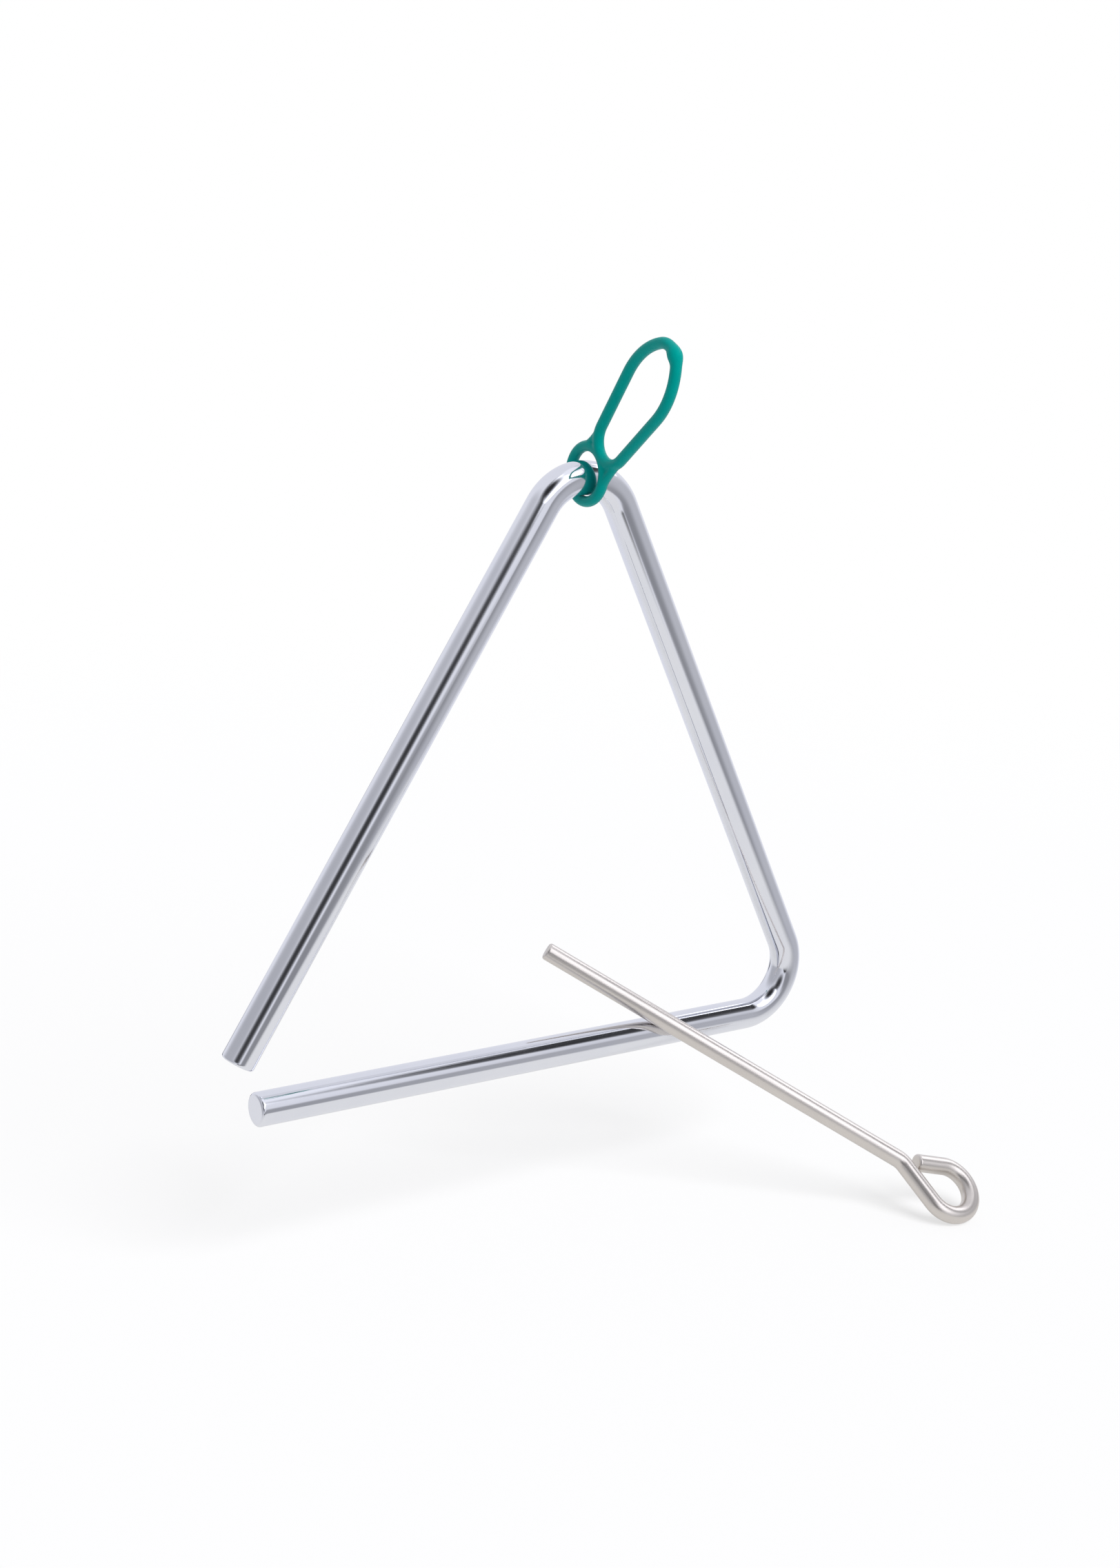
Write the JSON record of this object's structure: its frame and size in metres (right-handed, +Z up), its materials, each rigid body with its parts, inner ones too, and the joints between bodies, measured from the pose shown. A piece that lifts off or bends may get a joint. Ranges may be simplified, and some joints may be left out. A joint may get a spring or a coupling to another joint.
{
  "type": "percussion triangle with beater",
  "caption": "Hand percussion triangle: a bent steel bar with an open corner swings from a moulded finger loop, with a loose wire beater laid across the bottom limb.",
  "frame": {"origin": "the hold point: inside top of the hanger's finger loop, where a finger or a hook carries the weight", "axes": "+Z up; +X along the bottom limb from the open corner to the right bend, and through the finger loop; -Y towards the player's front, where the beater's ring is"},
  "size_m": [0.1924, 0.0774, 0.2179],
  "materials": {
    "bar": "polished chrome plating on steel",
    "hanger": "semi-gloss moulded soft plastic, teal green",
    "beater": "bright nickel plating on drawn steel wire"
  },
  "bodies": {
    "hanger": {"hanger": "hanger"},
    "triangle": {"triangle_rod": "bar"},
    "beater": {"beater": "beater"}
  },
  "joints": [
    {"name": "triangle_swing", "type": "hinge", "parent": "hanger", "child": "triangle", "pos_m": [0, 0.02641, -0.02981], "axis": [1, 0, 0], "continuous": true},
    {"name": "beater_lift", "type": "slide", "parent": "triangle", "child": "beater", "axis": [0, -0.866, 0.5], "range_m": [0, 0.12]}
  ]
}
